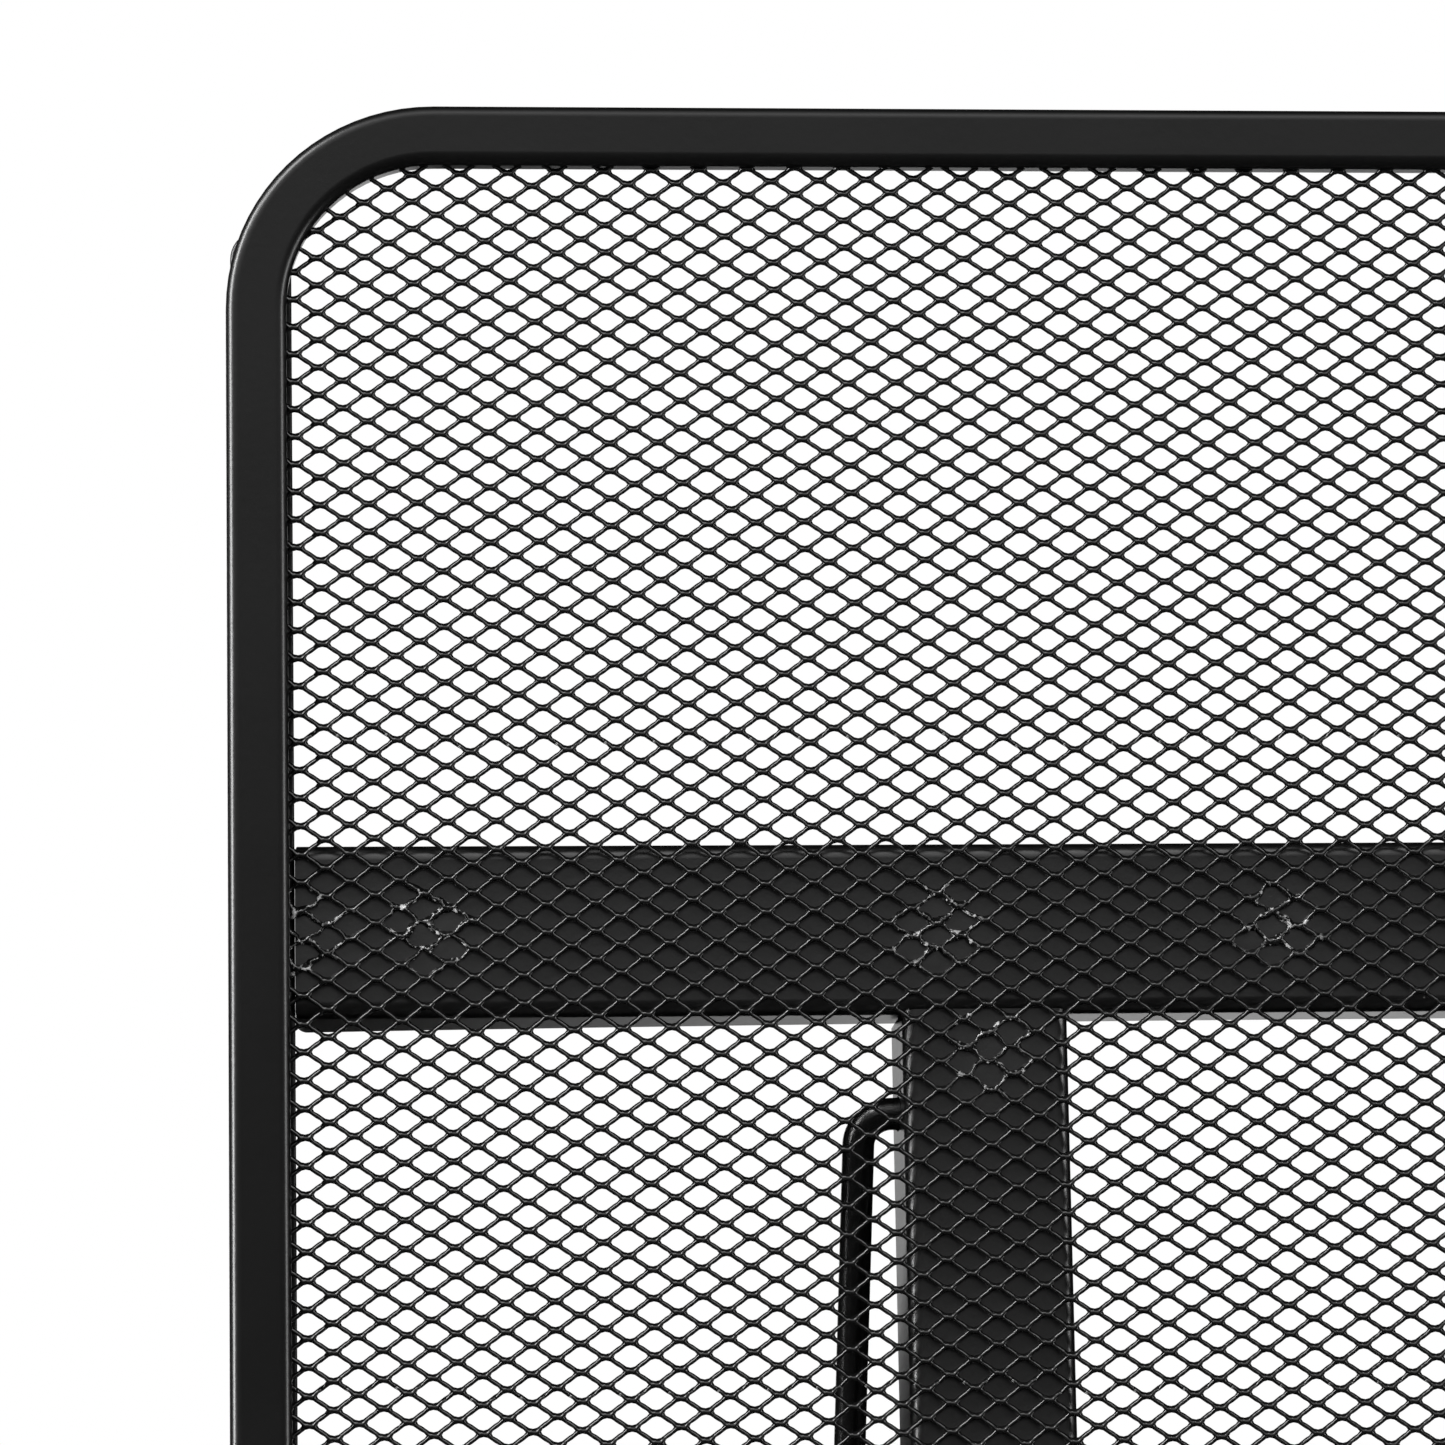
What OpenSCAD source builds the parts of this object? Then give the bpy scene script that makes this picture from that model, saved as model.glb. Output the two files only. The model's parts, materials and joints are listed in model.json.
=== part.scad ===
// Reclining mesh holder for magazines and files: a rimmed back panel of expanded
// metal, stiffened by sheet channels, with a mesh pocket in front and a folding
// wire leg behind.
// X runs across, Y runs from the front to the rear, Z is up, and the origin is
// on the desk under the middle of the whole object.

/* [Back panel] */
// Width of the panel over its rim
panel_w = 300; // [260:5:340]
// Length of the panel up its slope
panel_l = 320; // [300:5:360]
// Lean of the panel from upright, in degrees
recline = 9.5; // [7:0.5:13]
// Width of the rim tube's face
rim_face = 7.5; // [6.5:0.5:9]
// Depth of the rim tube from front to rear
rim_depth = 4.5; // [4:0.5:6]
// Outer radius of the rim's corners
rim_r = 26; // [20:1:34]
// Thickness of the expanded mesh over its strands
mesh_t = 1.2; // [1:0.1:1.6]

/* [Stiffeners] */
// From the panel's top edge down to the cross channel
cross_drop = 93; // [88:1:98]
// Width of the cross channel's face
cross_w = 21.2; // [18:0.1:22]
// Width of a post's face
post_w = 20.4; // [18:0.1:21]
// Distance between the centres of the two posts
post_gap = 114; // [108:0.5:114]
// Depth of every channel from its face to the edges of its flanges
channel_d = 10; // [9:0.5:12]
// Splay of the flanges, in degrees
flare = 5; // [1:1:6]
// Thickness of the sheet steel
sheet_t = 1; // [0.8:0.1:1.2]
// Width of the edge strips behind the rim's sides
strip_w = 7.6; // [6:0.1:8.5]
// Thickness of the edge strips
strip_t = 1.2; // [1:0.1:2]
// From the panel's top edge down to the tops of the edge strips
strip_drop = 15; // [13:1:20]
// From the panel's side edge in to an edge strip
strip_inset = 0.6; // [0.2:0.1:1]

/* [Pocket] */
// From the pocket's front face back to the panel's mesh, at the base
pocket_depth = 64; // [50:1:80]
// Height of the pocket over its rim, from the desk
pocket_h = 92; // [70:1:100]
// Outer radius of the pocket's upright corners
pocket_r = 22; // [16:1:30]
// Height of the pan's wall
pan_h = 12; // [10:1:20]

/* [Leg] */
// Diameter of the leg's wire
wire_d = 4; // [3.5:0.1:4.5]
// Distance between the centres of the leg's two sides
leg_w = 144.6; // [144.6:0.2:148]
// From the panel's top edge down to the hinge line
leg_drop = 126; // [125:1:132]
// Opening of the leg from the panel, in degrees
leg_open = 25.6; // [20:0.2:30]
// Centreline radius of the bend at the hinge
hinge_bend = 4; // [3.5:0.25:4.25]
// Centreline radius of the bends at the foot bar
foot_bend = 12; // [8:1:16]
// Diameter of the rubber sleeves on the foot bar
sleeve_d = 7; // [6:0.5:7.5]
// Length of each sleeve
sleeve_l = 32; // [20:1:40]
// Distance between the centres of the two sleeves
sleeve_gap = 84; // [70:1:86]

/* [Feet] */
// Diameter of the feet under the pan
foot_d = 14; // [10:1:18]
// Height of the feet
foot_h = 3; // [2.5:0.5:4]
// From the pan's sides to the centres of the feet
foot_inset = 28; // [24:1:40]

/* [Hidden] */
$fn = 64;
satin_black = "#26272a";
mesh_black = "#1d1e20";
rubber_black = "#151515";
// Clearance between the wire and its hole, and between the crank and the post
hinge_gap = 0.05;
// From the hinge line to the rear of a post's face, and from the middle plane to a crank
hinge_stand = 5;
crank_x = 58;
wire_r = wire_d / 2;
hole_r = wire_r + hinge_gap;
// The pocket's mesh lies in the middle of its rim, and the pan inside the mesh
mesh_inset = (rim_depth - mesh_t) / 2;
pan_inset = mesh_inset + mesh_t;
face_depth = mesh_t / 2;
// Levels up the panel's slope
cross_s = panel_l - cross_drop - cross_w;
hinge_s = panel_l - leg_drop;
hinge_depth = face_depth + sheet_t + hinge_stand;
// The leg, from the hinge line down to its foot bar
leg_lean = leg_open - recline;
hinge_z = foot_h + hinge_s * cos(recline) - hinge_depth * sin(recline);
leg_l = (hinge_z - sleeve_d / 2) / cos(leg_lean);
leg_run = hinge_s * sin(recline) + hinge_depth * cos(recline) + leg_l * sin(leg_lean);
reach = leg_run + sleeve_d / 2;
base_y = (pocket_depth - reach) / 2;
hinge_y = base_y + hinge_s * sin(recline) + hinge_depth * cos(recline);
// Length of the cranked tip, which lands on the rear of the post's face as a stop
crank_l = (hinge_stand - hinge_gap - wire_r * cos(leg_open)) / sin(leg_open);
far = 600;

// Places its children on the panel: X across, Y to the rear, Z up the slope
module on_panel() {
    translate([0, base_y, foot_h]) rotate([-recline, 0, 0]) children();
}

// Keeps what lies in front of the rim's front face, or further forward
module in_front(gap = 0) {
    intersection() {
        children();
        on_panel() translate([-far / 2, -far - rim_depth / 2 - gap, -far / 2]) cube([far, far, far]);
    }
}

// A rectangle with round corners, standing on the X axis
module round_rect(w, h, r) {
    translate([-w / 2, r]) square([w, h - 2 * r]);
    translate([r - w / 2, 0]) square([w - 2 * r, h]);
    for (x = [r - w / 2, w / 2 - r], y = [r, h - r]) translate([x, y]) circle(r);
}

// The panel's outline, drawn in from its outer edge
module panel_outline(inset) {
    translate([0, inset]) round_rect(panel_w - 2 * inset, panel_l - 2 * inset, rim_r - inset);
}

// A flat shape on the panel with a thickness t and its front face at a depth
module panel_plate(depth, t) {
    on_panel() translate([0, depth + t, 0]) rotate([90, 0, 0]) linear_extrude(t) children();
}

// The pocket's outline in plan, drawn in from its outer face and open to the rear
module pocket_plan(inset) {
    w = panel_w - 2 * inset;
    r = pocket_r - inset;
    front = base_y - pocket_depth + inset;
    translate([-w / 2, front + r]) square([w, far / 2]);
    translate([r - w / 2, front]) square([w - 2 * r, far / 2]);
    for (x = [r - w / 2, w / 2 - r]) translate([x, front + r]) circle(r);
}

// An upright wall that follows the pocket's outline
module pocket_wall(inset, t, z0, z1) {
    in_front() translate([0, 0, z0]) linear_extrude(z1 - z0) difference() {
        pocket_plan(inset);
        pocket_plan(inset + t);
    }
}

// The section of a channel: its face lies on the X axis, its flanges splay to +Y
module channel_section(w) {
    run = channel_d - sheet_t;
    splay = run * tan(flare);
    polygon([[-w / 2, 0], [w / 2, 0], [w / 2, sheet_t], [w / 2 + splay, channel_d],
        [w / 2 + splay - sheet_t, channel_d], [w / 2 - sheet_t, sheet_t],
        [sheet_t - w / 2, sheet_t], [sheet_t - w / 2 - splay, channel_d],
        [-w / 2 - splay, channel_d], [-w / 2, sheet_t]]);
}

module back_rim() {
    color(satin_black) panel_plate(-rim_depth / 2, rim_depth) difference() {
        panel_outline(0);
        panel_outline(rim_face);
    }
}

module back_mesh() {
    color(mesh_black) panel_plate(-mesh_t / 2, mesh_t) panel_outline(rim_face);
}

// A flat strip with round ends behind one side of the rim
module edge_strip(side) {
    r = strip_w / 2;
    x = side * (panel_w / 2 - strip_inset - r);
    color(satin_black) panel_plate(rim_depth / 2, strip_t) {
        translate([x - r, strip_drop + r]) square([strip_w, panel_l - 2 * (strip_drop + r)]);
        for (y = [strip_drop + r, panel_l - strip_drop - r]) translate([x, y]) circle(r);
    }
}

module cross_channel() {
    span = panel_w - 2 * (strip_inset + strip_w);
    color(satin_black) on_panel() translate([-span / 2, face_depth, cross_s + cross_w / 2])
        rotate([90, 0, 90]) linear_extrude(span) rotate(90) mirror([0, 1]) channel_section(cross_w);
}

// A post from the rim's foot up to the cross channel, with a hinge hole in its outer flange
module post(side) {
    x = side * post_gap / 2;
    splay = (channel_d - sheet_t) * tan(flare);
    color(satin_black) on_panel() difference() {
        translate([x, face_depth, rim_face])
            linear_extrude(cross_s - splay - rim_face) channel_section(post_w);
        translate([x, hinge_depth, hinge_s]) rotate([0, 90 * side, 0]) cylinder(h = post_w, r = hole_r);
    }
}

module pocket_rim() {
    color(satin_black) pocket_wall(0, rim_depth, pocket_h - rim_face, pocket_h);
}

module pocket_mesh() {
    color(mesh_black) pocket_wall(mesh_inset, mesh_t, foot_h + sheet_t, pocket_h - rim_face);
}

// A shallow pan of sheet steel that closes the pocket's floor, with a ledge under the mesh
module pocket_pan() {
    color(satin_black) {
        in_front() translate([0, 0, foot_h]) linear_extrude(sheet_t) pocket_plan(mesh_inset);
        difference() {
            in_front() translate([0, 0, foot_h]) linear_extrude(pan_h) pocket_plan(pan_inset);
            in_front(sheet_t) translate([0, 0, foot_h + sheet_t]) linear_extrude(pan_h)
                pocket_plan(pan_inset + sheet_t);
        }
    }
}

// A rubber foot under the pan, at the front or the rear
module foot(side, y) {
    color(rubber_black) translate([side * (panel_w / 2 - foot_inset), y, 0])
        cylinder(h = foot_h, d = foot_d);
}

// A quarter bend of the wire in the XZ plane, from an angle a on to a + 90
module wire_bend(r, a) {
    rotate([90, 0, 0]) rotate(a) rotate_extrude(angle = 90) translate([r, 0]) circle(wire_r);
}

// Places its children at the hinge line, with the open leg along -Z
module at_hinge() {
    translate([0, hinge_y, hinge_z]) rotate([leg_lean, 0, 0]) children();
}

// One side of the leg: cranked tip, pin, hinge bend, long side and foot bend
module leg_side() {
    side_x = leg_w / 2;
    pin_x = crank_x + hinge_bend;
    translate([crank_x, 0, hinge_bend]) cylinder(h = crank_l - hinge_bend, r = wire_r);
    translate([pin_x, 0, hinge_bend]) wire_bend(hinge_bend, 180);
    translate([pin_x, 0, 0]) rotate([0, 90, 0]) cylinder(h = side_x - hinge_bend - pin_x, r = wire_r);
    translate([side_x - hinge_bend, 0, -hinge_bend]) wire_bend(hinge_bend, 0);
    translate([side_x, 0, foot_bend - leg_l])
        cylinder(h = leg_l - foot_bend - hinge_bend, r = wire_r);
    translate([side_x - foot_bend, 0, foot_bend - leg_l]) wire_bend(foot_bend, -90);
}

module leg_wire() {
    bar = leg_w - 2 * foot_bend;
    color(satin_black) at_hinge() {
        leg_side();
        mirror([1, 0, 0]) leg_side();
        translate([-bar / 2, 0, -leg_l]) rotate([0, 90, 0]) cylinder(h = bar, r = wire_r);
    }
}

module leg_sleeve(side) {
    color(rubber_black) at_hinge() translate([side * sleeve_gap / 2 - sleeve_l / 2, 0, -leg_l])
        rotate([0, 90, 0]) difference() {
            cylinder(h = sleeve_l, d = sleeve_d);
            translate([0, 0, -1]) cylinder(h = sleeve_l + 2, r = wire_r);
        }
}

foot_front_y = base_y - pocket_depth + foot_inset;
foot_rear_y = base_y - foot_d;

back_rim();
back_mesh();
edge_strip(-1);  // edge_strip_left
edge_strip(1);  // edge_strip_right
cross_channel();
post(-1);  // post_left
post(1);  // post_right
pocket_rim();
pocket_mesh();
pocket_pan();
foot(-1, foot_front_y);  // foot_front_left
foot(1, foot_front_y);  // foot_front_right
foot(-1, foot_rear_y);  // foot_rear_left
foot(1, foot_rear_y);  // foot_rear_right
leg_wire();
leg_sleeve(-1);  // leg_sleeve_left
leg_sleeve(1);  // leg_sleeve_right
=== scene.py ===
# %% [markdown]
# # A reclining mesh holder for magazines and files
#
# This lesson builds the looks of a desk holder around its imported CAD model. The holder is a
# reclining panel of expanded metal in a tube rim, stiffened by folded sheet channels, with a
# mesh pocket in front and a folding wire leg behind. Everything is steel under a satin black
# powder coat, apart from the rubber feet and sleeves.
#
# The CAD model is the fixed frame. It is loaded first, and every size that it can give is
# measured on it, so a piece lies where the CAD says.

# %% Load the frame
import json
import math

import bmesh
import bpy
from mathutils import Matrix, Vector


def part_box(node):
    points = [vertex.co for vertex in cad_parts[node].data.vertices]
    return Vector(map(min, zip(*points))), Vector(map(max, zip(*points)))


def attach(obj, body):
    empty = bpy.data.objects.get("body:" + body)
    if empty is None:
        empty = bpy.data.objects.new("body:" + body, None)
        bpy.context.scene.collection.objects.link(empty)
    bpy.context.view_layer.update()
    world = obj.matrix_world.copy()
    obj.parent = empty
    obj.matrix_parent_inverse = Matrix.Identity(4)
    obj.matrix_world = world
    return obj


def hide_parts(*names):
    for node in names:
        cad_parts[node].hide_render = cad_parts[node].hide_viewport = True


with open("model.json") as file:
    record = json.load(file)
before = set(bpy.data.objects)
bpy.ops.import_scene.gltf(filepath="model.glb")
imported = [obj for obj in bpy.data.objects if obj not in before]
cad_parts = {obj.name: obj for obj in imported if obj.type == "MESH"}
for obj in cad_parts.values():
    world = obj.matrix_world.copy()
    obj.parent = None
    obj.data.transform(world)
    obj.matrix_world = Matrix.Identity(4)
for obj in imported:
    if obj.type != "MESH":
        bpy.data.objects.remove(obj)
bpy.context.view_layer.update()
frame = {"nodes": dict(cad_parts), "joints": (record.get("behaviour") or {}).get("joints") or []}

MM = 0.001
NODES = frame["nodes"]

# %% [markdown]
# ## The panel's own axes
#
# Most pieces belong to the leaning panel. It is easier to draw them upright, in the panel's
# own axes, and to lean the finished mesh back afterwards: X runs across, Y runs from the front
# to the rear, Z runs up the slope, and the origin is under the middle of the rim. The lean is
# the tilt of the largest face of the panel's mesh.

# %% Measure the panel
def lean_of(node):
    """How far a flat CAD node leans back from upright."""
    normal = max(NODES[node].data.polygons, key=lambda face: face.area).normal
    return math.atan2(abs(normal.z), abs(normal.y))


def local_box(node, axes):
    """The lowest and highest corner of a CAD node in other axes."""
    inward = axes.inverted()
    points = [inward @ vertex.co for vertex in NODES[node].data.vertices]
    low = Vector(min(point[i] for point in points) for i in range(3))
    high = Vector(max(point[i] for point in points) for i in range(3))
    return low, high


LEAN = lean_of("back_mesh")
turned = Matrix.Rotation(-LEAN, 4, "X")
low, high = local_box("back_rim", turned)
PANEL = turned @ Matrix.Translation((0, (low.y + high.y) / 2, low.z))
PANEL_W = high.x - low.x
PANEL_L = high.z - low.z
RIM_DEPTH = high.y - low.y
mesh_low, mesh_high = local_box("back_mesh", PANEL)
RIM_FACE = (PANEL_W - mesh_high.x + mesh_low.x) / 2
MESH_T = mesh_high.y - mesh_low.y
RIM_R = 26 * MM
FOOT_H = PANEL.translation.z
print("lean in degrees:", round(math.degrees(LEAN), 2))
print("panel in mm:", round(PANEL_W / MM, 1), "by", round(PANEL_L / MM, 1))
print("rim tube in mm:", round(RIM_FACE / MM, 2), "by", round(RIM_DEPTH / MM, 2))

# %% [markdown]
# ## Node graphs written as sums
#
# A material and a Geometry Nodes tree are both graphs of nodes. Built by hand they take a
# dozen lines for one formula. One small class wraps a socket and adds a Math node for each
# operator, so that a formula reads as it does on paper. A second class adds any other node
# from its type, its settings and the values of its sockets.

# %% A class for sockets and a class for graphs
class Wire:
    """A socket that can be added, multiplied and compared as a number is."""

    def __init__(self, graph, socket):
        self.graph = graph
        self.socket = socket

    def maths(self, operation, *values):
        settings = {"operation": operation}
        return self.graph.node("ShaderNodeMath", settings, dict(enumerate(values)))

    def __add__(self, other):
        return self.maths("ADD", self, other)

    def __radd__(self, other):
        return self.maths("ADD", other, self)

    def __sub__(self, other):
        return self.maths("SUBTRACT", self, other)

    def __rsub__(self, other):
        return self.maths("SUBTRACT", other, self)

    def __mul__(self, other):
        return self.maths("MULTIPLY", self, other)

    def __rmul__(self, other):
        return self.maths("MULTIPLY", other, self)

    def __truediv__(self, other):
        return self.maths("DIVIDE", self, other)

    def __gt__(self, other):
        return self.maths("GREATER_THAN", self, other)

    def __lt__(self, other):
        return self.maths("LESS_THAN", self, other)

    def smooth(self, low, high):
        """0 below low, 1 above high, and an even ramp in between."""
        settings = {"interpolation_type": "SMOOTHSTEP"}
        return self.graph.node("ShaderNodeMapRange", settings, {0: self, 1: low, 2: high})


class Graph:
    """A node tree that grows by one node at a time."""

    def __init__(self, tree):
        self.tree = tree

    def node(self, kind, settings=None, values=None, out=0):
        made = self.tree.nodes.new(kind)
        for key, value in (settings or {}).items():
            setattr(made, key, value)
        for key, value in (values or {}).items():
            if isinstance(value, Wire):
                self.tree.links.new(value.socket, made.inputs[key])
            else:
                made.inputs[key].default_value = value
        return Wire(self, made.outputs[out]) if made.outputs else None

    def also(self, wire, out):
        """Another output of the node that a wire comes from."""
        return Wire(self, wire.socket.node.outputs[out])

    def parts(self, vector):
        """The X, Y and Z of a vector."""
        x = self.node("ShaderNodeSeparateXYZ", {}, {0: vector})
        return x, self.also(x, 1), self.also(x, 2)

    def vector(self, x, y, z):
        return self.node("ShaderNodeCombineXYZ", {}, {0: x, 1: y, 2: z})

    def vector_maths(self, operation, *values):
        settings = {"operation": operation}
        return self.node("ShaderNodeVectorMath", settings, dict(enumerate(values)))


print("graphs are ready")

# %% [markdown]
# ## The powder coat
#
# The rim and the channels carry a satin black powder coat. Powder melts into a skin that is
# nearly smooth: a slow orange peel about a millimetre wide, a fine grain on top of it, and a
# little cloudiness in the gloss. A few specks of dust lie on it. The colour is close to black,
# so nearly all that is seen is the reflection, and the roughness matters more than the colour.
# One function makes three coats: the tubes' is the weakest in its reflections, the folded
# sheet's the strongest, and the wire's the smoothest.

# %% Powder coats
SHADER = "ShaderNodeBsdfPrincipled"


def new_material(name):
    """A material with an empty graph, and that graph."""
    material = bpy.data.materials.new(name)
    material.use_nodes = True
    material.node_tree.nodes.clear()
    return material, Graph(material.node_tree)


def close(graph, shader):
    graph.node("ShaderNodeOutputMaterial", {}, {"Surface": shader})


def noise(graph, place, scale, detail=2.0):
    """Soft noise from 0 to 1, with features about 1 / scale metres wide."""
    return graph.node("ShaderNodeTexNoise", {}, {"Vector": place, "Scale": scale, "Detail": detail})


def mixed_colour(graph, share, first, second):
    """A colour between two colours."""
    values = {0: share, 6: first, 7: second}
    return graph.node("ShaderNodeMix", {"data_type": "RGBA"}, values, 2)


def grey(value, warmth=0.0):
    return (value * (1 + warmth), value, value * (1 - warmth), 1.0)


def coat(name, colour, gloss, peel, dust, shine=0.5):
    """Satin powder coat. peel is the depth of the orange peel in metres, and dust its amount."""
    material, graph = new_material(name)
    place = graph.node("ShaderNodeTexCoord", {}, {}, "Object")
    slow = noise(graph, place, 900.0)
    fine = noise(graph, place, 4200.0, 1.0)
    cloud = noise(graph, place, 60.0, 3.0)
    shade = mixed_colour(graph, cloud, grey(colour * 0.8), grey(colour * 1.25))
    specks = graph.node("ShaderNodeTexVoronoi", {}, {"Vector": place, "Scale": 260.0})
    dusty = (specks < 0.045) * (noise(graph, place, 45.0) > 1 - dust)
    shade = mixed_colour(graph, dusty, shade, grey(0.16, 0.04))
    height = slow * 0.7 + fine * 0.3
    bump = graph.node("ShaderNodeBump", {}, {"Strength": 1.0, "Distance": peel, "Height": height})
    values = {
        "Base Color": shade,
        "Roughness": gloss + cloud * 0.05 + fine * 0.04 + dusty * 0.3,
        "Specular IOR Level": shine,
        "Normal": bump,
    }
    close(graph, graph.node(SHADER, {}, values))
    return material


POWDER = coat("satin powder coat", 0.0022, 0.25, 0.000016, 0.36, 0.42)
SHEET_COAT = coat("satin sheet coat", 0.0024, 0.29, 0.00002, 0.36, 1.0)
WIRE_COAT = coat("glossy wire coat", 0.002, 0.2, 0.000012, 0.3, 0.8)
print("coats:", POWDER.name, SHEET_COAT.name, WIRE_COAT.name)

# %% [markdown]
# ## The coat on the mesh
#
# The mesh was coated by the same gun, but the paint pulls thin over its sharp strands and runs
# thick where four of them meet. Where the mesh is spot-welded to a channel it is pressed flat,
# and the melted coat froze in wrinkles. Their bright glints are a painted highlight: a pale
# base colour on the wrinkles. The mesh pieces carry an attribute named weld, 1 at the middle of
# a spot and 0 away from it, and the shader reads it for the wrinkles and their painted highlight.

# %% Coated mesh
def mesh_coat(name):
    """Powder coat on strands, wrinkled, shiny and with a painted highlight where an attribute marks."""
    material, graph = new_material(name)
    place = graph.node("ShaderNodeTexCoord", {}, {}, "Object")
    weld = graph.node("ShaderNodeAttribute", {"attribute_name": "weld"}, {}, "Fac")
    slow = noise(graph, place, 1100.0)
    fine = noise(graph, place, 5200.0, 1.0)
    wrinkle = noise(graph, place, 1150.0, 2.0)
    shade = mixed_colour(graph, slow, grey(0.002), grey(0.004))
    # Painted highlight: the glints on the weld wrinkles are a pale base colour, not lighting.
    painted_glint = wrinkle.smooth(0.58, 0.67) * weld.smooth(0.2, 0.7)
    shade = mixed_colour(graph, painted_glint, shade, grey(0.3))
    skin = graph.node("ShaderNodeBump", {}, {"Strength": 1.0, "Distance": 0.00002, "Height": slow})
    melted = {"Strength": 1.0, "Distance": 0.0003, "Height": wrinkle * weld, "Normal": skin}
    values = {
        "Base Color": shade,
        "Roughness": 0.15 + fine * 0.05 - weld * 0.05,
        "Specular IOR Level": 0.62,
        "Normal": graph.node("ShaderNodeBump", {}, melted),
    }
    close(graph, graph.node(SHADER, {}, values))
    return material


MESH_COAT = mesh_coat("coated mesh")
print("coat:", MESH_COAT.name)

# %% [markdown]
# ## The rubber
#
# The feet and the sleeves are moulded rubber: a flat charcoal with a fine matt grain, slightly
# paler where it has been handled, and with hardly any gloss.

# %% Rubber
def rubber(name):
    material, graph = new_material(name)
    place = graph.node("ShaderNodeTexCoord", {}, {}, "Object")
    grain = noise(graph, place, 2600.0, 3.0)
    cloud = noise(graph, place, 140.0)
    bump = graph.node("ShaderNodeBump", {}, {"Strength": 1.0, "Distance": 0.00005, "Height": grain})
    values = {
        "Base Color": mixed_colour(graph, cloud, grey(0.012), grey(0.026, 0.03)),
        "Roughness": 0.72 + grain * 0.15,
        "Specular IOR Level": 0.35,
        "Normal": bump,
    }
    close(graph, graph.node(SHADER, {}, values))
    return material


RUBBER = rubber("matt rubber")
print("rubber:", RUBBER.name)

# %% [markdown]
# ## Paths with round corners
#
# Tubes, wire and folded sheet all have bends of a known radius. A path is written as its
# corner points and a radius for each, and each corner becomes an arc that touches both sides.
# A point is kept on the straight just before and after each arc. It holds the shading of the
# flat parts flat, because smooth shading otherwise bleeds from the arc across them.

# %% Round the corners of a path
def rounded(corners, radii, closed, steps=8, hold=0.0003):
    """The points of a flat path through corners, each turned on an arc of its radius."""
    count = len(corners)
    corners = [Vector(corner).to_3d() for corner in corners]
    path = []
    for i, corner in enumerate(corners):
        if not closed and i in (0, count - 1):
            path.append(corner)
            continue
        radius = radii[i] if isinstance(radii, (list, tuple)) else radii
        back = (corners[i - 1] - corner).normalized()
        ahead = (corners[(i + 1) % count] - corner).normalized()
        opening = back.angle(ahead)
        reach = radius / math.tan(opening / 2)
        centre = corner + (back + ahead).normalized() * radius / math.sin(opening / 2)
        first = corner + back * reach - centre
        last = corner + ahead * reach - centre
        sweep_angle = math.pi - opening
        path.append(centre + first + back * hold)
        for k in range(steps + 1):
            share = k / steps
            a = math.sin((1 - share) * sweep_angle) / math.sin(sweep_angle)
            b = math.sin(share * sweep_angle) / math.sin(sweep_angle)
            path.append(centre + first * a + last * b)
        path.append(centre + last + ahead * hold)
    return path


def section(corners, radii, steps=5, hold=0.00015):
    """The closed outline of a tube or a sheet, as pairs of numbers."""
    return [(p.x, p.y) for p in rounded(corners, radii, True, steps, hold)]


def rectangle(width, depth):
    """The corners of a rectangle round the origin."""
    a = width / 2
    b = depth / 2
    return [(-a, -b), (a, -b), (a, b), (-a, b)]


TUBE_EDGE_R = 1.4 * MM
tube = section(rectangle(RIM_FACE, RIM_DEPTH), TUBE_EDGE_R, 6)
print("the rim tube's section has", len(tube), "points")

# %% [markdown]
# ## Sweeping a section
#
# A tube is a section carried along a path. Blender's curves can do it, with a bevel object,
# but a mesh written ring by ring keeps the section square to the path on every bend and closes
# its own ends. Each ring lies on the line that halves the bend, as a mitre does.

# %% Sweep, finish a piece
SHARP = math.radians(38)


def sweep(bm, path, outline, normal, closed=False, shut=True):
    """Carries an outline of (outward, along the normal) pairs along a flat path."""
    count = len(path)
    normal = Vector(normal)
    rings = []
    for i, point in enumerate(path):
        before = point - path[i - 1] if closed or i else path[1] - point
        after = path[(i + 1) % count] - point if closed or i < count - 1 else before
        along = (before.normalized() + after.normalized()).normalized()
        side = along.cross(normal)
        rings.append([bm.verts.new(point + side * a + normal * b) for a, b in outline])
    size = len(outline)
    last = size if shut else size - 1
    for i in range(count if closed else count - 1):
        here = rings[i]
        there = rings[(i + 1) % count]
        for j in range(last):
            k = (j + 1) % size
            bm.faces.new((here[j], here[k], there[k], there[j]))
    if shut and not closed:
        bm.faces.new(rings[0])
        bm.faces.new(rings[-1])
    return rings


def dished(bm, path, profile, normal):
    """A plate: an open profile carried round its edge, and both sides filled."""
    rings = sweep(bm, path, profile, normal, closed=True, shut=False)
    bm.faces.new([ring[0] for ring in rings])
    bm.faces.new([ring[-1] for ring in rings])
    return rings


def keep(obj, body, slot, *stands_for):
    """Hands a finished piece to its body and hides the CAD nodes that it stands for. slot is not used."""
    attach(obj, body)
    if stands_for:
        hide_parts(*stands_for)
    obj.data.calc_loop_triangles()
    print(obj.name, "has", len(obj.data.loop_triangles), "triangles")
    return obj


def mesh_piece(bm, name, material, place=None):
    """A new object from a bmesh, smooth apart from its sharp edges, with faces outwards."""
    bmesh.ops.recalc_face_normals(bm, faces=bm.faces)
    mesh = bpy.data.meshes.new(name)
    bm.to_mesh(mesh)
    bm.free()
    if place is not None:
        mesh.transform(place)
    mesh.shade_smooth()
    mesh.set_sharp_from_angle(angle=SHARP)
    mesh.materials.append(material)
    obj = bpy.data.objects.new(name, mesh)
    bpy.context.scene.collection.objects.link(obj)
    return obj


print("sweep is ready")

# %% [markdown]
# ## The rim of the panel
#
# The rim is one flattened tube bent into a hoop, with broad round edges that draw the bright
# lines along its sides. Its path is the middle of the tube, so the bend radius of the path is
# the outer radius less half of the tube's face.

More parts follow.
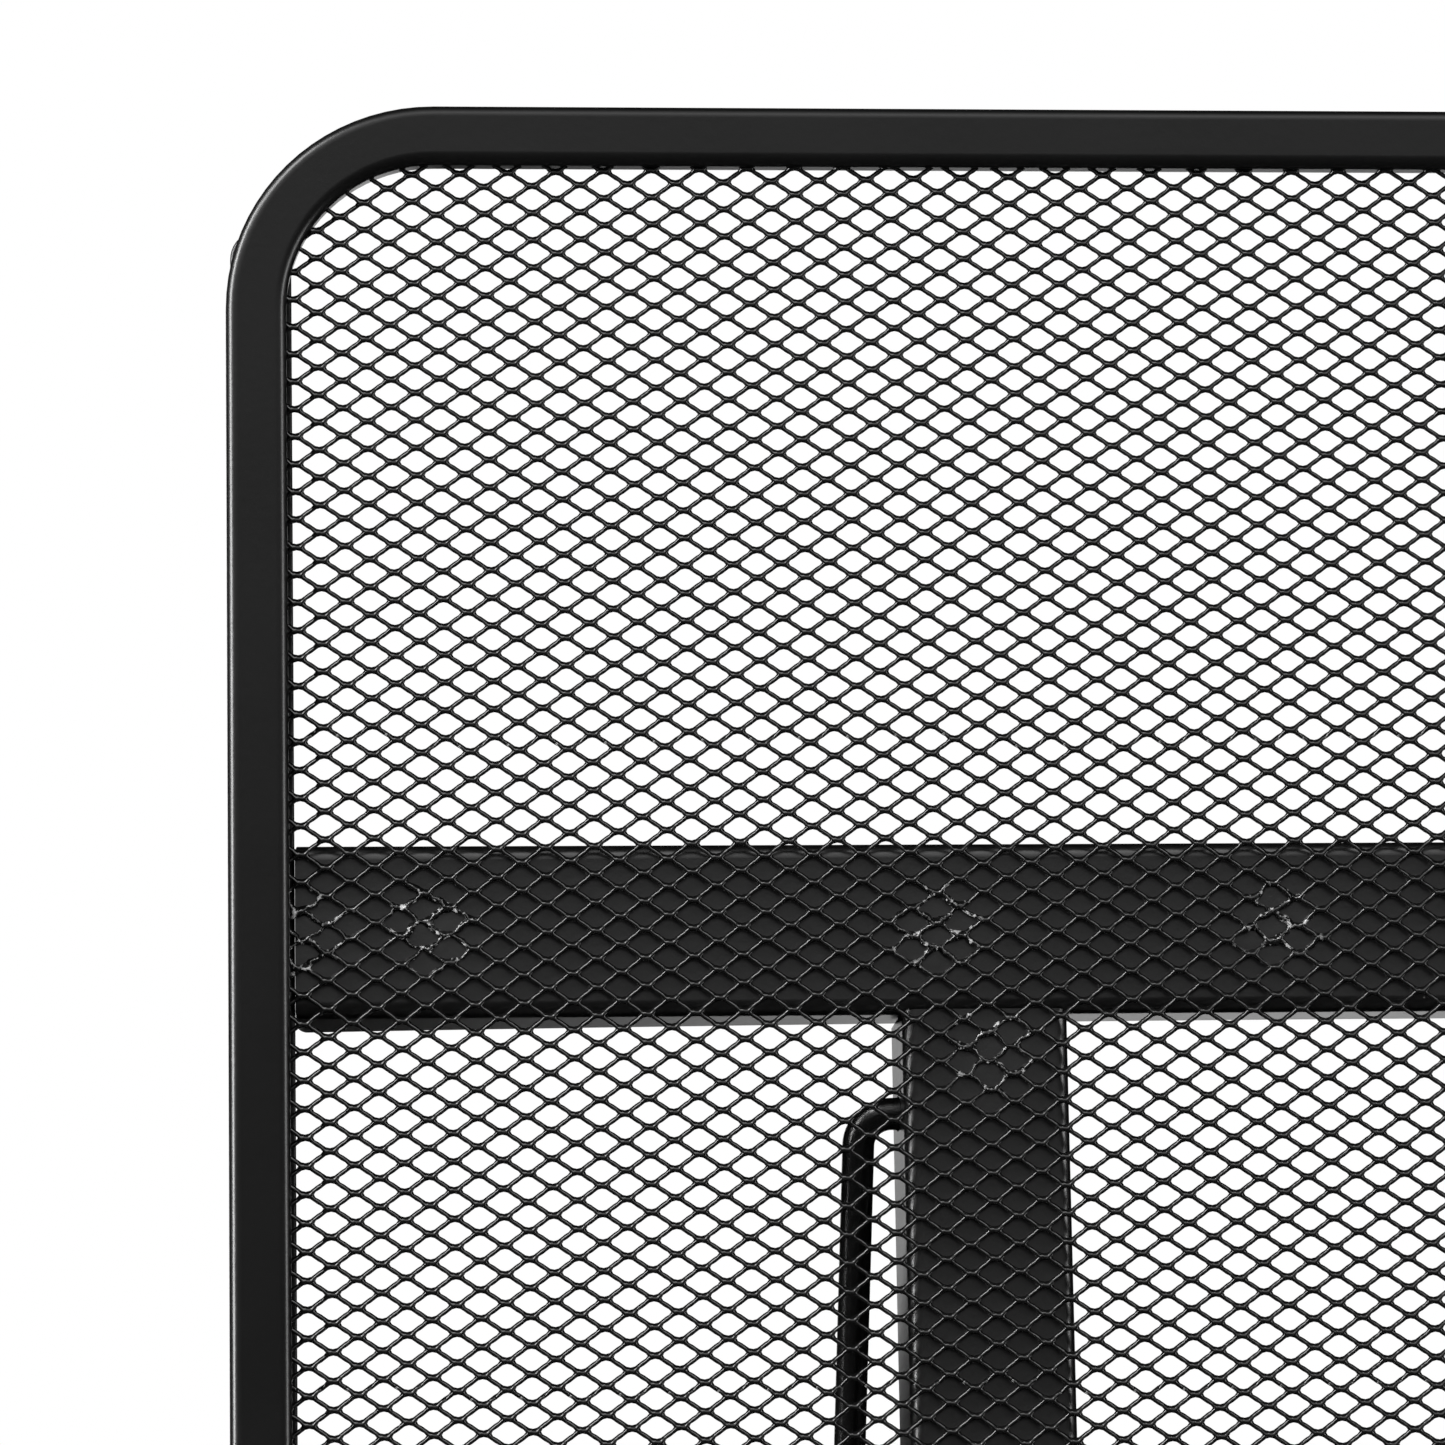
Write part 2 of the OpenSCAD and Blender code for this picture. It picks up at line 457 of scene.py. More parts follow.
# %% Rim hoop
def upright(width, height, lift, radius, steps):
    """A standing rectangle with round corners, in the panel's axes."""
    a = width / 2
    b = lift + height
    corners = [(-a, 0, lift), (-a, 0, b), (a, 0, b), (a, 0, lift)]
    return rounded(corners, radius, True, steps, 1 * MM)


half = RIM_FACE / 2
hoop_path = upright(PANEL_W - RIM_FACE, PANEL_L - RIM_FACE, half, RIM_R - half, 20)
bm = bmesh.new()
sweep(bm, hoop_path, tube, (0, 1, 0), closed=True)
rim = mesh_piece(bm, "rim_hoop", POWDER, PANEL)
keep(rim, "root", "powder_coat", "back_rim")

# %% [markdown]
# ## The edge strips
#
# A flat strip with round ends lies behind each side of the rim. It is a small plate, so it is
# drawn as the outline of its edge: a profile that rounds both edges goes round the path, and
# the two sides are filled.

# %% Edge strips
def edge_profile(reach, thick, soft):
    """Half of a plate's section: in along the front, round the edge, and back along the rear."""
    line = rounded([(0, 0), (reach, 0), (reach, thick), (0, thick)], soft, False, 4, 0.05 * MM)
    return [(p.x, p.y) for p in line]


for side_name, node in (("left", "edge_strip_left"), ("right", "edge_strip_right")):
    low, high = local_box(node, PANEL)
    inset = 1.5 * MM
    radius = (high.x - low.x) / 2
    x0 = low.x + inset
    x1 = high.x - inset
    z0 = low.z + inset
    z1 = high.z - inset
    corners = [(x0, low.y, z0), (x0, low.y, z1), (x1, low.y, z1), (x1, low.y, z0)]
    path = rounded(corners, (radius - inset) * 0.999, True, 10)
    bm = bmesh.new()
    dished(bm, path, edge_profile(inset, high.y - low.y, 0.45 * MM), (0, 1, 0))
    strip = mesh_piece(bm, "strip_" + side_name, POWDER, PANEL)
    keep(strip, "root", "powder_coat", node)

# %% [markdown]
# ## The folded channels
#
# The cross channel and the two posts are folded from sheet steel. Folding leaves an outer
# radius of about one and a half sheets at each bend, and the cut edges are a little soft. The
# flanges splay, so the channel is widest at their tips. The cross channel's corners are
# clipped round where the flanges end. Its flanges splay most at its ends and close towards its
# middle, so it is drawn in stations and each one is closed by its own share.

# %% Channels
SHEET_T = 1 * MM


def channel(width, tip_width, depth):
    """The section of a channel whose face lies at 0, with flanges that splay to the rear."""
    tip = tip_width / 2
    half = width / 2
    lean_in = (tip - half) / (depth - SHEET_T) * SHEET_T
    corners = [
        (-half + lean_in, 0), (half - lean_in, 0), (tip, depth), (tip - SHEET_T, depth),
        (half - SHEET_T, SHEET_T), (SHEET_T - half, SHEET_T), (SHEET_T - tip, depth), (-tip, depth),
    ]
    radii = [1.8 * MM, 1.8 * MM, 0.3 * MM, 0.3 * MM, 0.8 * MM, 0.8 * MM, 0.3 * MM, 0.3 * MM]
    return section(corners, radii, 5)


def clip_corners(rings, axis, across, clip):
    """Pulls the ends of a straight bar in, on an arc, where its section is widest."""
    widest = max(abs(vert.co[across]) for vert in rings[0])
    for ring, way in ((rings[0], 1), (rings[-1], -1)):
        for vert in ring:
            past = abs(vert.co[across]) - (widest - clip)
            if past > 0:
                vert.co[axis] += way * (clip - math.sqrt(max(clip**2 - past**2, 0)))


cross_low, cross_high = local_box("cross_channel", PANEL)
CROSS_W = 21.2 * MM
CROSS_CLOSING = math.tan(math.radians(5.4))
CROSS_CLIP = 1.7 * MM
CHANNEL_D = cross_high.y - cross_low.y
cross_z = (cross_low.z + cross_high.z) / 2
outline = channel(CROSS_W, cross_high.z - cross_low.z, CHANNEL_D)
STATIONS = 24
shares = [k / STATIONS for k in range(STATIONS + 1)]
line = [Vector((cross_low.x + (cross_high.x - cross_low.x) * share, 0, 0)) for share in shares]
bm = bmesh.new()
rings = sweep(bm, line, outline, (0, 1, 0))
for ring, spot in zip(rings, line):
    closing = CROSS_CLOSING * (1 - (spot.x / cross_high.x) ** 2)
    for vert in ring:
        vert.co.z -= math.copysign(max(vert.co.y - SHEET_T, 0) * closing, vert.co.z)
clip_corners(rings, 0, 2, CROSS_CLIP)
place = PANEL @ Matrix.Translation((0, cross_low.y, cross_z))
keep(mesh_piece(bm, "cross_bar", SHEET_COAT, place), "root", "powder_coat", "cross_channel")

# %% [markdown]
# ## The posts and their hinge holes
#
# Each post is the same channel, standing from the rim's foot up to the cross channel, with a
# hole in its outer flange for the leg. The hole is cut with a Boolean modifier, because a
# drilled hole is just that: a cylinder taken out of the sheet. At its top the face rises a
# little further than the flanges' tips, so that no light shows under the cross channel.

# %% Posts
POST_W = 20.4 * MM
POST_TAB = 1.3 * MM
POST_SPLAY = 0.6
HOLE_R = 2.2 * MM
HOLE_REACH = 8 * MM
hinge = PANEL.inverted() @ Vector(frame["joints"][0]["pos_m"])


def drilled(obj, centre, radius, length):
    """obj with a hole along X through centre."""
    bm = bmesh.new()
    turn = Matrix.Translation(centre) @ Matrix.Rotation(math.pi / 2, 4, "Y")
    sizes = {"radius1": radius, "radius2": radius, "depth": length}
    bmesh.ops.create_cone(bm, cap_ends=True, segments=40, matrix=turn, **sizes)
    drill = mesh_piece(bm, "drill", SHEET_COAT)
    modifier = obj.modifiers.new("hole", "BOOLEAN")
    modifier.operation = "DIFFERENCE"
    modifier.solver = "EXACT"
    modifier.object = drill
    graph = bpy.context.evaluated_depsgraph_get()
    mesh = bpy.data.meshes.new_from_object(obj.evaluated_get(graph))
    obj.modifiers.remove(modifier)
    obj.data = mesh
    bpy.data.objects.remove(drill)
    mesh.shade_smooth()
    mesh.set_sharp_from_angle(angle=SHARP)
    return obj


for side_name, node, way in (("left", "post_left", -1), ("right", "post_right", 1)):
    low, high = local_box(node, PANEL)
    splay = (high.x - low.x - POST_W) * POST_SPLAY
    outline = channel(POST_W, POST_W + splay, high.y - low.y)
    bm = bmesh.new()
    standing = [Vector((0, 0, low.z)), Vector((0, 0, high.z))]
    rings = sweep(bm, standing, outline, (0, 1, 0))
    for vert in rings[1]:
        vert.co.z += POST_TAB * (1 - vert.co.y / (high.y - low.y))
    middle = (low.x + high.x) / 2
    post = mesh_piece(bm, "post_" + side_name + "_channel", SHEET_COAT)
    post.data.transform(Matrix.Translation((middle, low.y, 0)))
    flange = Vector((middle + way * POST_W / 2, hinge.y, hinge.z))
    drilled(post, flange, HOLE_R, HOLE_REACH)
    post.data.transform(PANEL)
    keep(post, "root", "powder_coat", node)

# %% [markdown]
# ## The pocket's rim
#
# The pocket is a U in plan that ends against the panel's rim. Its top is the same flattened
# tube on edge. The tube runs a little way into the panel's rim, and its end rings are moved
# onto a plane that leans as the panel does, so no gap shows at the weld.

# %% Pocket rim
POCKET_R = 22 * MM
pocket_low, pocket_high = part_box("pocket_rim")
TUBE = RIM_DEPTH


def level_rear(z, depth):
    """Y of the plane at a depth in the panel, at a height above the desk."""
    point = PANEL.translation
    return point.y + (depth + (z - point.z) * math.sin(LEAN)) / math.cos(LEAN)


def u_path(inset, z, rear, steps=12):
    """The pocket's outline in plan, drawn in from its outer face, open to the rear."""
    a = PANEL_W / 2 - inset
    front = pocket_low.y + inset
    corners = [(-a, rear, z), (-a, front, z), (a, front, z), (a, rear, z)]
    return rounded(corners, POCKET_R - inset, False, steps, 1 * MM)


pocket_z = (pocket_low.z + pocket_high.z) / 2
path = u_path(TUBE / 2, pocket_z, level_rear(pocket_z, 0))
bm = bmesh.new()
standing_tube = [(a, b) for b, a in tube]
rings = sweep(bm, path, standing_tube, (0, 0, 1))
for ring in (rings[0], rings[-1]):
    for vert in ring:
        vert.co.y = level_rear(vert.co.z, -0.6 * MM)
keep(mesh_piece(bm, "pocket_hoop", POWDER), "root", "powder_coat", "pocket_rim")

# %% [markdown]
# ## The pan
#
# A shallow pan of sheet steel closes the pocket's floor. It is pressed from one sheet: the
# floor, a low wall all round, and a ledge outside the wall that carries the mesh. One profile
# goes round the whole outline, and the floor is filled inside it, above and below. The rear
# wall leans with the panel, so the finished shape is stretched towards the rear with height.

# %% Pan
pan_low, pan_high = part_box("pocket_pan")
LEDGE = MESH_T
PAN_INSET = (TUBE - MESH_T) / 2
pan_rear = level_rear(pan_low.z, -RIM_DEPTH / 2)
a = PANEL_W / 2 - PAN_INSET
front = pocket_low.y + PAN_INSET
radius = POCKET_R - PAN_INSET
inner = 4 * MM
corners = [
    (-a + inner, pan_rear - inner, pan_low.z), (-a + inner, front + inner, pan_low.z),
    (a - inner, front + inner, pan_low.z), (a - inner, pan_rear - inner, pan_low.z),
]
path = rounded(corners, [3 * MM, radius - inner, radius - inner, 3 * MM], True, 12)
wall_h = pan_high.z - pan_low.z
wall_out = inner - LEDGE
profile_corners = [
    (0, SHEET_T), (wall_out - SHEET_T, SHEET_T), (wall_out - SHEET_T, wall_h), (wall_out, wall_h),
    (wall_out, SHEET_T), (inner, SHEET_T), (inner, 0), (0, 0),
]
profile_radii = [0, 1.2 * MM, 0.45 * MM, 0.45 * MM, 0.3 * MM, 0.3 * MM, 0.3 * MM, 0]
profile = [(p.x, p.y) for p in rounded(profile_corners, profile_radii, False, 4, 0.05 * MM)]
bm = bmesh.new()
dished(bm, path, profile, (0, 0, 1))
for vert in bm.verts:
    stretch = (level_rear(vert.co.z, -RIM_DEPTH / 2) - pocket_low.y) / (pan_rear - pocket_low.y)
    vert.co.y = pocket_low.y + (vert.co.y - pocket_low.y) * stretch
keep(mesh_piece(bm, "pan_tray", POWDER), "root", "powder_coat", "pocket_pan")

# %% [markdown]
# ## The wire leg
#
# The leg is one bent wire: a long loop with a foot bar, hinged by two pins in the posts, each
# with a short crank that stops the leg when it is open. Half of its corners are listed, and
# the other half is their mirror. It lies in one plane, which runs from the hinge line to the
# foot bar.

# %% Leg wire
WIRE_D = 4 * MM
CRANK_X = 58 * MM
wire_low, wire_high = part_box("leg_wire")
sleeve_low, sleeve_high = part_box("leg_sleeve_left")
sleeve_mid = (sleeve_low + sleeve_high) / 2
hinge_point = PANEL @ hinge
down = Vector((0, sleeve_mid.y - hinge_point.y, sleeve_mid.z - hinge_point.z))
LEG_L = down.length
SIDE_X = wire_high.x - WIRE_D / 2
leg_lean = math.atan2(down.y, -down.z)
LEG = Matrix.Translation(hinge_point) @ Matrix.Rotation(leg_lean, 4, "X")
leg_high = local_box("leg_wire", LEG)[1]
half_leg = [(CRANK_X, 0, leg_high.z), (CRANK_X, 0, 0), (SIDE_X, 0, 0), (SIDE_X, 0, -LEG_L)]
half_bends = [0, 4 * MM, 4 * MM, 12 * MM]
other_half = [(-x, y, z) for x, y, z in reversed(half_leg)]
path = rounded(half_leg + other_half, half_bends + half_bends[::-1], False, 14, 0.5 * MM)


def circle(radius, count):
    angles = [2 * math.pi * k / count for k in range(count)]
    return [(radius * math.cos(angle), radius * math.sin(angle)) for angle in angles]


bm = bmesh.new()
sweep(bm, path, circle(WIRE_D / 2, 20), (0, 1, 0))
leg = mesh_piece(bm, "leg_loop", WIRE_COAT, LEG)
keep(leg, "leg", "coated_wire", "leg_wire")
print("the leg is", round(LEG_L / MM, 1), "mm long and leans", round(math.degrees(leg_lean), 1))

# %% [markdown]
# ## Rubber sleeves and feet
#
# The sleeves and the feet are turned shapes. A lathe needs only half of the section, and a
# sleeve is a closed ring of section round the bar, while a foot closes on its own axis.

# %% Sleeves and feet
def lathe(bm, outline, count, turn, ring):
    """Turns an outline of (radius, height) pairs round an axis. ring closes it on itself."""
    loops = []
    for k in range(count):
        angle = 2 * math.pi * k / count
        loop = []
        for radius, height in outline:
            spot = Vector((radius * math.cos(angle), radius * math.sin(angle), height))
            loop.append(bm.verts.new(turn @ spot))
        loops.append(loop)
    size = len(outline)
    for k in range(count):
        here = loops[k]
        there = loops[(k + 1) % count]
        for j in range(size if ring else size - 1):
            i = (j + 1) % size
            bm.faces.new((here[j], here[i], there[i], there[j]))
    bmesh.ops.remove_doubles(bm, verts=bm.verts, dist=1e-7)


for side_name in ("left", "right"):
    node = "leg_sleeve_" + side_name
    low, high = local_box(node, LEG)
    middle = (low + high) / 2
    length = (high.x - low.x) / 2
    outer = (high.z - low.z) / 2
    inner = WIRE_D / 2
    corners = [(inner, -length), (outer, -length), (outer, length), (inner, length)]
    outline = section(corners, [0.15 * MM, 1.1 * MM, 1.1 * MM, 0.15 * MM], 5)
    turn = Matrix.Translation(middle) @ Matrix.Rotation(math.pi / 2, 4, "Y")
    bm = bmesh.new()
    lathe(bm, outline, 28, turn, True)
    keep(mesh_piece(bm, "sleeve_" + side_name, RUBBER, LEG), "leg", "rubber", node)

for node in ("foot_front_left", "foot_front_right", "foot_rear_left", "foot_rear_right"):
    low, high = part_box(node)
    middle = (low + high) / 2
    radius = (high.x - low.x) / 2
    tall = high.z - low.z
    corners = [(0, 0), (radius - 0.8 * MM, 0), (radius, tall), (0, tall)]
    line = rounded(corners, [0, 0.6 * MM, 0.2 * MM, 0], False, 4, 0.05 * MM)
    bm = bmesh.new()
    turn = Matrix.Translation((middle.x, middle.y, low.z))
    lathe(bm, [(p.x, p.y) for p in line], 32, turn, False)
    keep(mesh_piece(bm, node.replace("foot", "pad"), RUBBER), "root", "rubber", node)

# %% [markdown]
# ## One bond of the expanded metal
#
# Expanded metal is a sheet that was slit in rows and pulled open, so it has no wires and no
# knots: four strands leave each bond, and the openings between them are diamonds with soft
# corners. The smallest shape that repeats is one bond with four half strands. It is drawn
# once, as a quarter of its outline and of the ridge along its middle, and has forty faces.
# Pulling the slit sheet open tilts each strand, so the ridge in front lies lower than the one
# at the rear.
# The strands meet the next bond's strands exactly half way, so the copies can be welded.

# %% Bond cell
LONG_WAY = 6.0 * MM
SHORT_WAY = 3.4821 * MM
STRAND = 0.305 * MM
RIDGE = 0.36 * MM
RIDGE_DROP = (0.3 * MM, 0.27 * MM, 0.22 * MM, 0.2 * MM)


def bond_quarter(crotch, crotch_side):
    """A quarter of a bond: ridge points, then the upper and the side edge, as (x, z) pairs."""
    reach = Vector((LONG_WAY / 4, SHORT_WAY / 4))
    slope = math.radians(35)
    off = Vector((-math.sin(slope), math.cos(slope))) * STRAND
    ridge = [Vector((0, 0)), Vector((0.5, 0)) * MM, Vector((1.03, 0.53)) * MM, reach]
    upper = [Vector((0, 0.4)) * MM, Vector((0.5, 0.515)) * MM, Vector((0.93, 0.825)) * MM, reach + off]
    side = [Vector((crotch, 0)), Vector((crotch_side, 0.32 * MM)), reach - off]
    return ridge, upper, side


def bond_cell():
    """The unit of expanded metal as a loose object: X across, Z up, front towards -Y."""
    bm = bmesh.new()
    for way, crotch, crotch_side in ((1, 0.98 * MM, 1.15 * MM), (-1, 0.9 * MM, 1.16 * MM)):
        ridge, upper, side = bond_quarter(crotch, crotch_side)
        for lift in (1, -1):
            for front in (-1, 1):
                spots = [(way * p.x, lift * p.y + front * drop) for p, drop in zip(ridge, RIDGE_DROP)]
                top = [bm.verts.new((x, front * RIDGE, z)) for x, z in spots]
                edge = [bm.verts.new((way * p.x, 0, lift * p.y)) for p in upper]
                flank = [bm.verts.new((way * p.x, 0, lift * p.y)) for p in side]
                faces = [(top[k], top[k + 1], edge[k + 1], edge[k]) for k in range(3)]
                faces.append((top[1], flank[0], flank[1], top[2]))
                faces.append((top[2], flank[1], flank[2], top[3]))
                for face in faces:
                    outward = way * lift * front > 0
                    bm.faces.new(face if outward else face[::-1])
    bmesh.ops.remove_doubles(bm, verts=bm.verts, dist=1e-7)
    mesh = bpy.data.meshes.new("bond cell")
    bm.to_mesh(mesh)
    bm.free()
    mesh.shade_smooth()
    return bpy.data.objects.new("bond cell", mesh)


cell = bond_cell()
print("one bond has", len(cell.data.polygons), "faces")

# %% [markdown]
# ## Growing the mesh with Geometry Nodes
#
# The copies of the bond stand on a staggered grid, which a Geometry Nodes tree can lay out in
# one step: a plain grid of points, with every other row moved by half a bond. Points outside
# the frame are deleted before anything is copied onto the rest. Then the copies are made
# real and welded, and the whole sheet is bent to its place.
#
# Two things make it look stretched and not printed. The rows climb slightly, because the sheet
# was cut a little askew. And at the spot welds the strands are pressed flat and pushed about.

# %% Expanded metal tree
def socket_of(tree, name, kind, default=None):
    """A named input of a tree."""
    made = tree.interface.new_socket(name, in_out="INPUT", socket_type="NodeSocket" + kind)
    if default is not None:
        made.default_value = default
    return made


def expanded_metal_tree():
    """The tree that lays out, trims, welds, marks and bends a sheet of expanded metal."""
    tree = bpy.data.node_groups.new("expanded metal", "GeometryNodeTree")
    tree.interface.new_socket("Geometry", in_out="OUTPUT", socket_type="NodeSocketGeometry")
    for name, kind, default in (
        ("Bond", "Object", None), ("Path", "Object", None), ("Welds", "Object", None),
        ("Coat", "Material", None), ("Long Way", "Float", LONG_WAY), ("Short Way", "Float", SHORT_WAY),
        ("Columns", "Int", 10), ("Rows", "Int", 10), ("Start X", "Float", 0.0), ("Start Z", "Float", 0.0),
        ("Rise", "Float", 0.0), ("Lean", "Float", 0.0), ("Left", "Float", -1.0), ("Right", "Float", 1.0),
        ("Bottom", "Float", -1.0), ("Top", "Float", 1.0), ("Centre Z", "Float", 0.0),
        ("Half Width", "Float", 1.0), ("Half Height", "Float", 1.0), ("Corner", "Float", 0.0),
        ("End Slope", "Float", 0.0), ("Step Height", "Float", -1.0), ("Step", "Float", 0.0),
        ("Forward", "Float", 0.0), ("Weld Radius", "Float", 0.004), ("Weld Push", "Float", 0.0),
    ):
        socket_of(tree, name, kind, default)
    graph = Graph(tree)
    start = graph.node("NodeGroupInput")
    given = {socket.name: Wire(graph, socket) for socket in start.socket.node.outputs}

    # The staggered grid of points
    width = given["Long Way"] * (given["Columns"] - 1)
    height = given["Short Way"] * 0.5 * (given["Rows"] - 1)
    sizes = {0: width, 1: height, 2: given["Columns"], 3: given["Rows"]}
    points = graph.node("GeometryNodeMeshGrid", {}, sizes)
    x, y, z = graph.parts(graph.node("GeometryNodeInputPosition"))
    up = y + height * 0.5
    row = (up / (given["Short Way"] * 0.5)).maths("ROUND", up / (given["Short Way"] * 0.5))
    odd = row.maths("MODULO", row, 2.0)
    x = x + width * 0.5 + odd * given["Long Way"] * 0.5
    staggered = {"Geometry": points, "Position": graph.vector(x, 0.0, up)}
    points = graph.node("GeometryNodeSetPosition", {}, staggered)

    # What lies outside the frame's round-cornered outline, or outside this piece
    x, y, up = graph.parts(graph.node("GeometryNodeInputPosition"))
    sheet_x = x + given["Start X"] + up * given["Lean"]
    sheet_z = up + given["Start Z"] + x * given["Rise"]
    from_side = sheet_x.maths("ABSOLUTE", sheet_x) - (sheet_z - given["Centre Z"]) * given["End Slope"]
    from_side = from_side + (sheet_z < given["Step Height"]) * given["Step"]
    over_x = from_side - (given["Half Width"] - given["Corner"])
    lift = sheet_z - given["Centre Z"]
    over_z = lift.maths("ABSOLUTE", lift) - (given["Half Height"] - given["Corner"])
    past_x = over_x.maths("MAXIMUM", over_x, 0.0)
    past_z = over_z.maths("MAXIMUM", over_z, 0.0)
    past = (past_x * past_x + past_z * past_z).maths("SQRT", past_x * past_x + past_z * past_z)
    outside = (past > given["Corner"]) + (sheet_x < given["Left"]) + (sheet_x > given["Right"])
    outside = outside + (sheet_z < given["Bottom"]) + (sheet_z > given["Top"])
    unwanted = {"Geometry": points, "Selection": outside > 0.5}
    points = graph.node("GeometryNodeDeleteGeometry", {"domain": "POINT"}, unwanted)

    # Copies of the bond, welded into one sheet
    bond = graph.node("GeometryNodeObjectInfo", {}, {"Object": given["Bond"]}, "Geometry")
    sheet = graph.node("GeometryNodeInstanceOnPoints", {}, {"Points": points, "Instance": bond})
    sheet = graph.node("GeometryNodeRealizeInstances", {}, {"Geometry": sheet})
    sheet = graph.node("GeometryNodeMergeByDistance", {}, {"Geometry": sheet, "Distance": 0.00002})

    # The askew cut, and the sheet's place in front of the middle
    x, y, up = graph.parts(graph.node("GeometryNodeInputPosition"))
    askew_x = x + given["Start X"] + up * given["Lean"]
    askew_z = up + given["Start Z"] + x * given["Rise"]
    flat = graph.vector(askew_x, y - given["Forward"], askew_z)
    sheet = graph.node("GeometryNodeSetPosition", {}, {"Geometry": sheet, "Position": flat})

    # The spot welds: a mark, a press and a push sideways
    here = graph.node("GeometryNodeInputPosition")
    welds = graph.node("GeometryNodeObjectInfo", {}, {"Object": given["Welds"]}, "Geometry")
    x, y, z = graph.parts(here)
    near = {"Geometry": welds, "Sample Position": graph.vector(x, 0.0, z)}
    gap = graph.node("GeometryNodeProximity", {"target_element": "POINTS"}, near, "Distance")
    ragged = graph.node("ShaderNodeTexNoise", {}, {"Vector": here, "Scale": 420.0, "Detail": 1.0})
    reach = gap / given["Weld Radius"] + ragged * 0.9 - 0.45
    mark = 1 - reach.smooth(0.35, 1.0)
    named = {"Geometry": sheet, "Name": "weld", "Value": mark}
    sheet = graph.node("GeometryNodeStoreNamedAttribute", {"data_type": "FLOAT", "domain": "POINT"}, named)
    mark = graph.node("GeometryNodeInputNamedAttribute", {"data_type": "FLOAT"}, {"Name": "weld"})
    jolt = graph.node("ShaderNodeTexNoise", {}, {"Vector": here, "Scale": 620.0, "Detail": 0.0}, 1)
    jolt = graph.vector_maths("SUBTRACT", jolt, (0.5, 0.5, 0.5))
    jx, jy, jz = graph.parts(jolt)
    push = mark * given["Weld Push"]
    pressed = y * (1 - mark * 0.55) + mark * 0.3 * MM + jy * push * 0.6
    moved = graph.vector(x + jx * push, pressed, z + jz * push)
    sheet = graph.node("GeometryNodeSetPosition", {}, {"Geometry": sheet, "Position": moved})

    # Bent along the path: X becomes the way along it, and the front faces out of it
    x, y, z = graph.parts(graph.node("GeometryNodeInputPosition"))
    line = graph.node("GeometryNodeObjectInfo", {}, {"Object": given["Path"]}, "Geometry")
    total = graph.node("GeometryNodeCurveLength", {}, {"Curve": line})
    along = {"Curves": line, "Length": x + total * 0.5}
    spot = graph.node("GeometryNodeSampleCurve", {"mode": "LENGTH"}, along, "Position")
    tangent = graph.also(spot, "Tangent")
    outward = graph.vector_maths("CROSS_PRODUCT", tangent, (0.0, 0.0, 1.0))
    back = graph.node("ShaderNodeVectorMath", {"operation": "SCALE"}, {0: outward, "Scale": 0 - y})
    bent = graph.vector_maths("ADD", graph.vector_maths("ADD", spot, back), graph.vector(0.0, 0.0, z))
    sheet = graph.node("GeometryNodeSetPosition", {}, {"Geometry": sheet, "Position": bent})

    sheet = graph.node("GeometryNodeRealizeInstances", {}, {"Geometry": sheet})
    sheet = graph.node("GeometryNodeSetMaterial", {}, {"Geometry": sheet, "Material": given["Coat"]})
    graph.node("NodeGroupOutput", {}, {"Geometry": sheet})
    return tree


TREE = expanded_metal_tree()
print("the tree has", len(TREE.nodes), "nodes")

# %% [markdown]
# ## Running the tree
#
# A modifier runs the tree on an empty mesh. Its inputs are set by their identifiers before it
# is first evaluated, the result is taken as a plain mesh, and the modifier goes. The strands
# that end inside the rim are left open by the tree, so their ends are closed here.

# %% Make a sheet
def poly_line(name, points):
    """An open curve of straight pieces through points."""
    data = bpy.data.curves.new(name, "CURVE")
    data.dimensions = "3D"
    spline = data.splines.new("POLY")
    spline.points.add(len(points) - 1)
    for point, spot in zip(spline.points, points):
        point.co = (*spot, 1.0)
    return bpy.data.objects.new(name, data)


def point_cloud(name, points):
    """A mesh of loose points."""
    data = bpy.data.meshes.new(name)
    data.from_pydata([Vector(point) for point in points], [], [])
    return bpy.data.objects.new(name, data)


def sheet_piece(name, inputs, place=None):
    """A piece of expanded metal from the tree, closed at its cut ends."""
    host = bpy.data.objects.new(name, bpy.data.meshes.new(name))
    bpy.context.scene.collection.objects.link(host)
    modifier = host.modifiers.new("expanded metal", "NODES")
    modifier.node_group = TREE
    sockets = {item.name: item.identifier for item in TREE.interface.items_tree}
    for key, value in inputs.items():
        modifier[sockets[key]] = value
    graph = bpy.context.evaluated_depsgraph_get()
    mesh = bpy.data.meshes.new_from_object(host.evaluated_get(graph))
    host.modifiers.remove(modifier)
    host.data = mesh
    bm = bmesh.new()
    bm.from_mesh(mesh)
    open_edges = [edge for edge in bm.edges if edge.is_boundary]
    bmesh.ops.holes_fill(bm, edges=open_edges, sides=8)
    bmesh.ops.recalc_face_normals(bm, faces=bm.faces)
    still_open = sum(edge.is_boundary for edge in bm.edges)
    bm.to_mesh(mesh)
    bm.free()
    if place is not None:
        mesh.transform(place)
    mesh.shade_smooth()
    print(name, "closed", len(open_edges), "edges and left", still_open, "open")
    return host


bpy.context.scene.collection.objects.link(cell)
print("ready to grow sheets")

# %% [markdown]
# ## The panel's mesh
#
# The panel is one sheet of about eight thousand bonds. It is made in bands, so that no piece
# grows too heavy, and the bands meet half way along their strands. Its edge runs into the
# middle of the rim tube. The spot welds are on the cross channel, where three pairs and the
# ends hold it, and down both posts.

